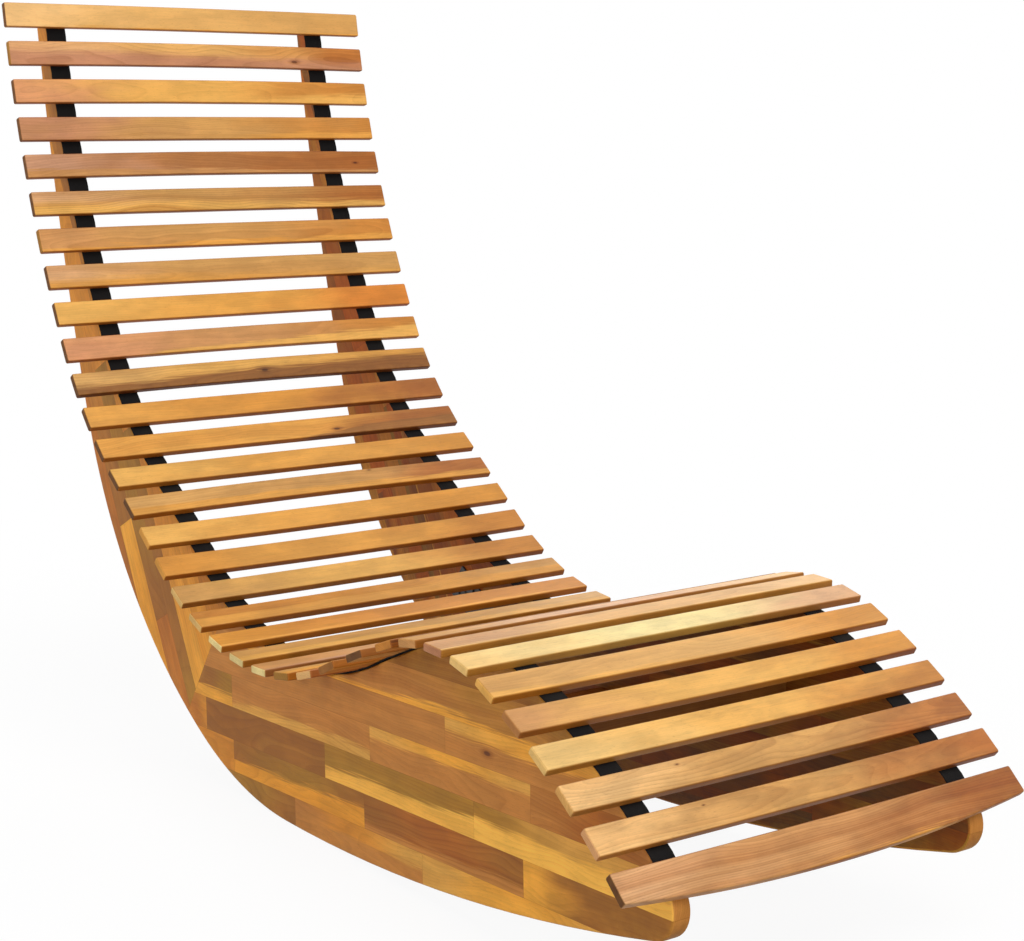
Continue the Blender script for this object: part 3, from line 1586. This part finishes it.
@dataclass(frozen=True)
class Fixings:
    """Brackets, plates, screws, dowels and brads, which keep the frame's own shapes.

    Attributes:
        sides: The sides that each kind lies on.
    """

    sides: tuple[str, ...] = ("right", "left")

    def dress(self, nodes: dict[str, bpy.types.Object]) -> int:
        """Gives every fixing its finish.

        Args:
            nodes: The frame's nodes by name.

        Returns:
            How many nodes were dressed.
        """
        screws = PaintedSteel("black_screws", (36, 35, 35), 0.0, 0.42, (500.0,) * 3).material()
        finishes = {
            "corner_brackets_": PaintedSteel("black_brackets").material(),
            "splice_plates_": PaintedSteel("black_plates", streaks=(60.0, 400.0, 400.0)).material(),
            "bracket_screws_": screws,
            "slat_brads_": PaintedSteel("bright_brads", (160, 156, 150), 1.0, 0.4, (900.0,) * 3).material(),
            "dowels_": RawDowel().material(),
            "splice_screws_": screws,
        }
        dressed = [(nodes[stem + side], material)
                   for stem, material in finishes.items() for side in self.sides]
        for node, material in dressed:
            for slot in node.material_slots:
                slot.material = material
        return len(dressed)


@dataclass(frozen=True)
class Sun:
    """A soft distant lamp.

    Attributes:
        name: The lamp's name.
        towards: Direction from the object to the lamp.
        strength: Its strength.
        softness: Its angle in degrees.
    """

    name: str
    towards: Triple
    strength: float
    softness: float

    def build(self) -> None:
        """Hangs the lamp."""
        lamp = bpy.data.lights.new(self.name, "SUN")
        lamp.energy = self.strength
        lamp.angle = math.radians(self.softness)
        holder = bpy.data.objects.new(self.name, lamp)
        holder.rotation_mode = "QUATERNION"
        holder.rotation_quaternion = Vector(self.towards).to_track_quat("Z", "Y")
        bpy.context.scene.collection.objects.link(holder)


SUNS = (
    Sun("key_light", (0.42, 0.04, 1.0), 1.57, 45.0),
    Sun("fill_light", (0.15, -1.0, 0.12), 1.86, 70.0),
    Sun("front_light", (1.0, -0.25, 0.06), 0.80, 50.0),
    Sun("back_light", (-0.4, 1.0, 0.25), 1.45, 70.0),
)


@dataclass(frozen=True)
class Studio:
    """A white studio: a pale floor, soft plain light and the camera.

    Attributes:
        eye: The camera's place.
        azimuth: Direction of the camera's view from above, in degrees from +X.
        elevation: Its angle above the horizon, in degrees.
        roll: Its turn about its own axis, in degrees.
        lens: Its focal length in millimetres on a sensor of a full frame's width.
        sensor: The sensor's width in millimetres.
        floor_radius: Where the floor ends.
        floor_drop: How far it lies under the object, so that the two faces don't mix.
        floor_glow: How far the floor's own white covers its shading near the object.
        ambient: Strength of the light from all round.
    """

    eye: Triple = (2.2258, -1.5800, 0.9741)
    azimuth: float = 142.93
    elevation: float = -10.93
    roll: float = 1.217
    lens: float = 74.377
    sensor: float = 36.0
    floor_radius: float = 9.0
    floor_drop: float = 0.2 * MM
    floor_glow: float = 0.92
    ambient: float = 0.33

    def build(self) -> None:
        """Builds the floor, the light and the camera."""
        self.floor()
        self.world()
        for sun in SUNS:
            sun.build()
        self.camera()

    def floor(self) -> None:
        """A round white floor that keeps the object's shadow and fades into the backdrop."""
        shape = bmesh.new()
        bmesh.ops.create_circle(shape, cap_ends=True, segments=96, radius=self.floor_radius)
        mesh = bpy.data.meshes.new("studio_floor")
        shape.to_mesh(mesh)
        shape.free()
        floor = bpy.data.objects.new("studio_floor", mesh)
        floor.location.z = -self.floor_drop
        bpy.context.scene.collection.objects.link(floor)
        paper = Surface("floor_paper")
        place = paper.read("ShaderNodeTexCoord", "Object")
        seen = self.seen(paper)
        white = paper.mix(paper.noise(place, 40.0), (0.93, 0.93, 0.93), (0.95, 0.95, 0.95))
        paper.finished(Base_Color=paper.mix(seen, (0.30, 0.28, 0.25), white), Roughness=0.9,
                       Specular_IOR_Level=0.0)
        glow = paper.node("ShaderNodeEmission", {"Color": WHITE, "Strength": 1.0})
        fade = paper.rise(paper.step("LENGTH", place), 0.9, 1.9, self.floor_glow) * seen
        mixed = paper.node("ShaderNodeMixShader", {0: fade, 1: paper.shader.outputs[0], 2: glow.outputs[0]})
        paper.feed(paper.output.inputs["Surface"], mixed.outputs[0])
        mesh.materials.append(paper.material)

    @staticmethod
    def seen(graph: Graph) -> Signal:
        """Tells apart the rays that look at the studio.

        Args:
            graph: The graph of the material or the world.

        Returns:
            1 for rays from the camera, or off or through something glossy, and 0 for the rest.
        """
        camera, glossy, clear = (graph.read("ShaderNodeLightPath", "Is %s Ray" % kind)
                                 for kind in ("Camera", "Glossy", "Transmission"))
        return graph.step("MAXIMUM", camera, graph.step("MAXIMUM", glossy, clear))

    def world(self) -> None:
        """An even white surround, plain white where it is seen."""
        world = bpy.data.worlds.new("studio_surround")
        bpy.context.scene.world = world
        world.use_nodes = True
        world.node_tree.nodes.clear()
        graph = Graph(world.node_tree)
        strength = self.seen(graph) * (1.0 - self.ambient) + self.ambient
        surround = graph.node("ShaderNodeBackground", {"Color": WHITE, "Strength": strength})
        graph.node("ShaderNodeOutputWorld", {"Surface": surround.outputs[0]})

    def camera(self) -> None:
        """The camera at the photograph's angle."""
        data = bpy.data.cameras.new("studio_camera")
        data.sensor_width = self.sensor
        data.lens = self.lens
        data.clip_end = 60.0
        camera = bpy.data.objects.new("studio_camera", data)
        turn, tilt = math.radians(self.azimuth), math.radians(self.elevation)
        view = Vector((math.cos(turn) * math.cos(tilt), math.sin(turn) * math.cos(tilt), math.sin(tilt)))
        camera.rotation_mode = "QUATERNION"
        level = view.to_track_quat("-Z", "Y")
        camera.rotation_quaternion = level @ Quaternion((0, 0, 1), math.radians(self.roll))
        camera.location = self.eye
        bpy.context.scene.collection.objects.link(camera)
        bpy.context.scene.camera = camera
        bpy.context.scene.view_settings.view_transform = "Standard"


def build_side(side: str, wood: bpy.types.Material, base_seed: int | None, arm_seed: int | None) -> None:
    """Builds one rocker's two panels and its strap.

    Args:
        side: right or left.
        wood: The panels' material.
        base_seed: Seed of the base's boards, or None for the named ones.
        arm_seed: The same for the arm.
    """
    base = RockerPanel("rocker_base_" + side, BASE_ROWS, 3.45, Vector((0.0023, 0, 0)), wood, base_seed, 0.45)
    arm = RockerPanel("rocker_arm_" + side, ARM_ROWS, -61.4, Vector((-0.2977, 0, 0.2)), wood, arm_seed, 0.85)
    for panel in (base.build(), arm.build()):
        log.info("%s, %d faces", panel.name, len(panel.data.polygons))
    strap = Strap("strap_" + side, Webbing("black_webbing_" + side).material()).build()
    log.info("%s", strap.name)


def main() -> None:
    """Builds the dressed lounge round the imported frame."""
    logging.basicConfig(level=logging.INFO, format="%(name)s: %(message)s")
    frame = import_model()
    slats = SlatDeck(OiledWood("oiled_slats").material()).build()
    log.info("%d slats", len(slats))
    panels = OiledWood("oiled_panels", glued=True, border=0.5 * MM, roughness=0.55, tint=(1.27, 1.23, 0.68))
    panel_wood = panels.material()
    build_side("right", panel_wood, None, None)
    build_side("left", panel_wood, 44, 43)
    rails = CrossRails(OiledWood("oiled_rails", roughness=0.55).material()).build()
    log.info("%d cross rails", len(rails))
    log.info("%d nodes of fixings", Fixings().dress(frame["nodes"]))
    Studio().build()


if __name__ == "__main__":
    main()
